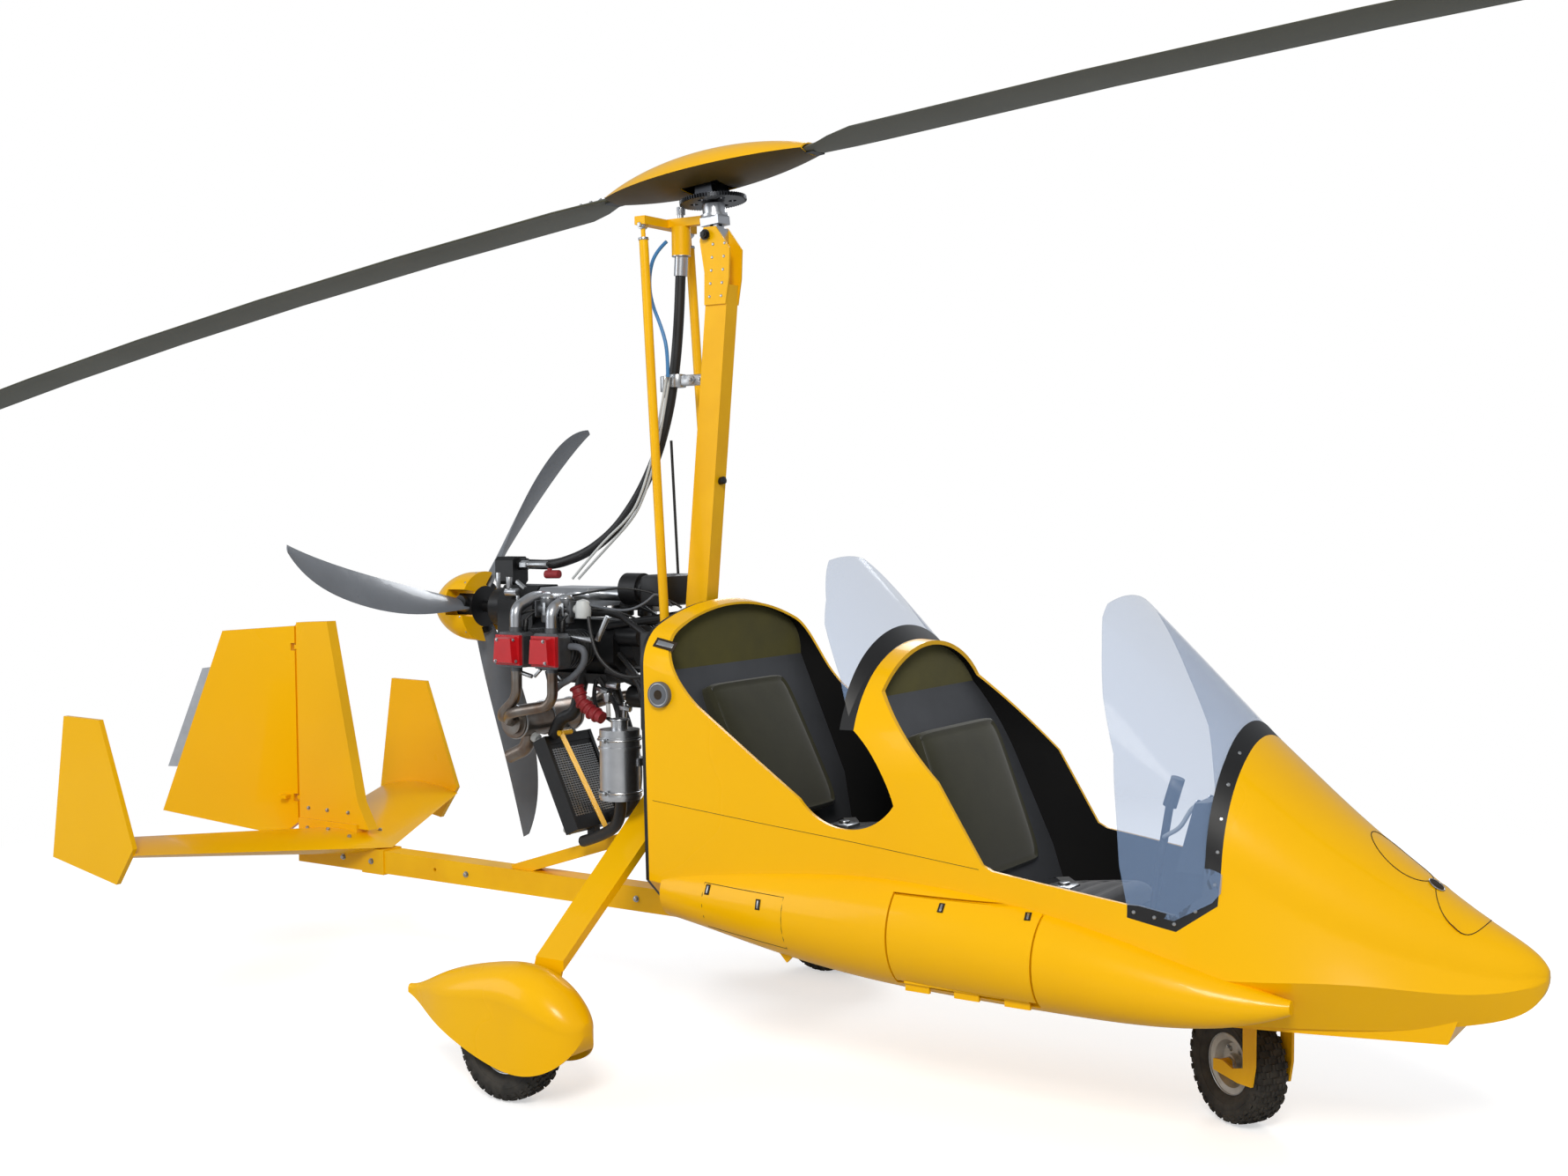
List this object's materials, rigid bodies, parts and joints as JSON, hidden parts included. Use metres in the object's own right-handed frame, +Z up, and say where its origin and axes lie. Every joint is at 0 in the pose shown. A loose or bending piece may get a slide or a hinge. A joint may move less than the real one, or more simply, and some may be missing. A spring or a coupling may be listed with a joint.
{
  "type": "gyrocopter",
  "caption": "Tandem open-cockpit gyrocopter with a teetering rotor on a leaning mast, pusher propeller, tricycle gear, keel tube, tip-finned stabiliser and rudder.",
  "frame": {"origin": "on the ground straight below the rotor hub", "axes": "+X towards the nose, +Y towards the left side, +Z up"},
  "size_m": [8.4592, 1.8398, 2.9459],
  "materials": {
    "yellow_paint": "gloss",
    "black_trim": "satin",
    "clear_screen": "polished",
    "olive_liner": "matte",
    "seat_fabric": "matte",
    "grey_plastic": "matte",
    "machined_metal": "satin",
    "cast_alloy": "cast",
    "red_paint": "gloss",
    "black_metal": "satin",
    "exhaust_steel": "brushed",
    "black_rubber": "matte",
    "grey_composite": "satin",
    "olive_blade": "satin",
    "tyre_rubber": "matte",
    "rim_alloy": "satin"
  },
  "bodies": {
    "airframe": {"body_lower": "yellow_paint", "body_upper": "yellow_paint", "nose_underpan": "yellow_paint", "pod_left": "yellow_paint", "pod_right": "yellow_paint", "screen_trims": "black_trim", "windshield_front": "clear_screen", "windshield_rear": "clear_screen", "bulkheads": "olive_liner", "seat_front": "seat_fabric", "seat_rear": "seat_fabric", "instrument_panel": "black_trim", "control_sticks": "black_trim", "fuel_cap": "grey_plastic", "keel_tube": "yellow_paint", "mast_tube": "yellow_paint", "mast_cheek_plates": "yellow_paint", "head_pivot": "machined_metal", "rotor_bearing": "machined_metal", "torque_bar": "yellow_paint", "push_rods": "yellow_paint", "crankcase": "cast_alloy", "cylinders": "cast_alloy", "valve_covers": "red_paint", "gearbox": "black_metal", "intake": "machined_metal", "exhaust": "exhaust_steel", "radiator": "black_metal", "oil_tank": "machined_metal", "coolant_hoses": "black_rubber", "flex_drive": "black_rubber", "pinion_drive": "machined_metal", "engine_mount": "black_metal", "gear_legs": "yellow_paint", "wheel_pant_left": "yellow_paint", "wheel_pant_right": "yellow_paint", "steering_head": "machined_metal", "stabiliser": "yellow_paint", "fin": "yellow_paint"},
    "rotor_head_body": {"rotor_head": "machined_metal"},
    "rotor": {"hub_bar": "machined_metal", "rotor_blade_front": "olive_blade", "rotor_blade_rear": "olive_blade", "rotor_fairing": "yellow_paint"},
    "propeller": {"prop_hub": "black_metal", "prop_blades": "grey_composite", "prop_spinner": "yellow_paint"},
    "rudder_body": {"rudder": "yellow_paint", "trim_tab": "machined_metal"},
    "fork": {"nose_fork": "yellow_paint"},
    "nose_wheel": {"tyre_nose": "tyre_rubber", "rim_nose": "rim_alloy"},
    "main_wheel_left": {"tyre_left": "tyre_rubber", "rim_left": "rim_alloy"},
    "main_wheel_right": {"tyre_right": "tyre_rubber", "rim_right": "rim_alloy"},
    "locker_lid_left": {"locker_door_left": "yellow_paint"},
    "locker_lid_right": {"locker_door_right": "yellow_paint"}
  },
  "joints": [
    {"name": "rotor_spin", "type": "hinge", "parent": "airframe", "child": "rotor_head_body", "pos_m": [0, 0, 2.69], "axis": [-0.0995, 0, 0.995], "continuous": true},
    {"name": "rotor_teeter", "type": "hinge", "parent": "rotor_head_body", "child": "rotor", "pos_m": [0, 0, 2.69], "axis": [0, 1, 0], "range_deg": [-6, 6]},
    {"name": "prop_spin", "type": "hinge", "parent": "airframe", "child": "propeller", "pos_m": [-1.01, 0, 1.331], "axis": [1, 0, 0], "continuous": true},
    {"name": "rudder_hinge", "type": "hinge", "parent": "airframe", "child": "rudder_body", "pos_m": [-1.925, 0, 0.8], "axis": [0, 0, 1], "range_deg": [-45, 11]},
    {"name": "nose_steer", "type": "hinge", "parent": "airframe", "child": "fork", "pos_m": [1.775, 0, 0.4], "axis": [0, 0, 1], "range_deg": [-5, 71]},
    {"name": "nose_wheel_spin", "type": "hinge", "parent": "fork", "child": "nose_wheel", "pos_m": [1.66597, 0.0708, 0.16], "axis": [0.5446, 0.8387, 0], "continuous": true},
    {"name": "main_wheel_left_spin", "type": "hinge", "parent": "airframe", "child": "main_wheel_left", "pos_m": [-0.13, 0.831, 0.16], "axis": [0, 1, 0], "continuous": true},
    {"name": "main_wheel_right_spin", "type": "hinge", "parent": "airframe", "child": "main_wheel_right", "pos_m": [-0.13, -0.831, 0.16], "axis": [0, 1, 0], "continuous": true},
    {"name": "locker_left", "type": "hinge", "parent": "airframe", "child": "locker_lid_left", "pos_m": [1.093, 0.402, 0.38], "axis": [-1, 0, 0], "range_deg": [0, 80]},
    {"name": "locker_right", "type": "hinge", "parent": "airframe", "child": "locker_lid_right", "pos_m": [1.093, -0.402, 0.38], "axis": [1, 0, 0], "range_deg": [0, 80]}
  ]
}
